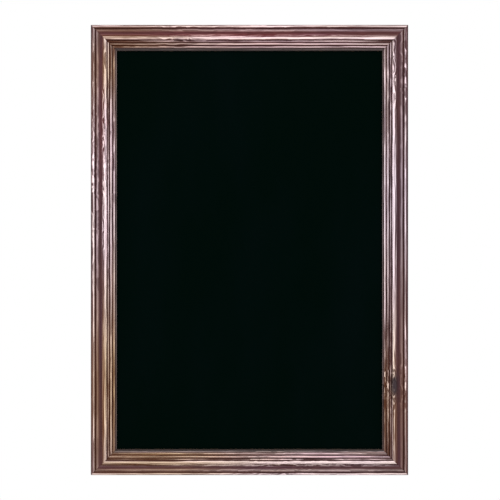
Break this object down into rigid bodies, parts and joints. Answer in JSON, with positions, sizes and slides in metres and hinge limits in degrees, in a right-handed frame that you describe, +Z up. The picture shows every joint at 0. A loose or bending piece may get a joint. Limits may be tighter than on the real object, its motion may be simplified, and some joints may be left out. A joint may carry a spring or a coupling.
{
  "type": "menu board",
  "caption": "Wall-hung menu board: a black writing panel in a mitred, moulded and stained wood frame, with swinging ring hangers and rubber bumpers on its back.",
  "frame": {"origin": "middle of the frame's bottom edge, half way between the wall plane of the bumpers and the crest of the moulding", "axes": "+Z up the board, +X to the right seen from the front, -Y out of the writing face, +Y towards the wall"},
  "size_m": [0.478, 0.025, 0.678],
  "materials": {
    "stained_wood": "satin",
    "blackboard": "matte",
    "nail_steel": "satin",
    "point_steel": "satin",
    "plated_steel": "polished",
    "screw_steel": "satin",
    "rubber": "matte"
  },
  "bodies": {
    "frame": {"top_rail": "stained_wood", "bottom_rail": "stained_wood", "left_stile": "stained_wood", "right_stile": "stained_wood", "writing_panel": "blackboard", "vnails_top_left": "nail_steel", "vnails_top_right": "nail_steel", "vnails_bottom_left": "nail_steel", "vnails_bottom_right": "nail_steel", "points_top": "point_steel", "points_bottom": "point_steel", "points_left": "point_steel", "points_right": "point_steel", "left_hanger_strap": "plated_steel", "right_hanger_strap": "plated_steel", "left_hanger_screw": "screw_steel", "right_hanger_screw": "screw_steel", "bumper_top_left": "rubber", "bumper_top_right": "rubber", "bumper_bottom_left": "rubber", "bumper_bottom_right": "rubber"},
    "left_ring": {"left_ring": "plated_steel"},
    "right_ring": {"right_ring": "plated_steel"}
  },
  "joints": [
    {"name": "left_ring_swing", "type": "hinge", "parent": "frame", "child": "left_ring", "pos_m": [-0.2225, 0.0098, 0.558], "axis": [1, 0, 0], "range_deg": [0, 180]},
    {"name": "right_ring_swing", "type": "hinge", "parent": "frame", "child": "right_ring", "pos_m": [0.2225, 0.0098, 0.558], "axis": [1, 0, 0], "range_deg": [0, 180]}
  ]
}
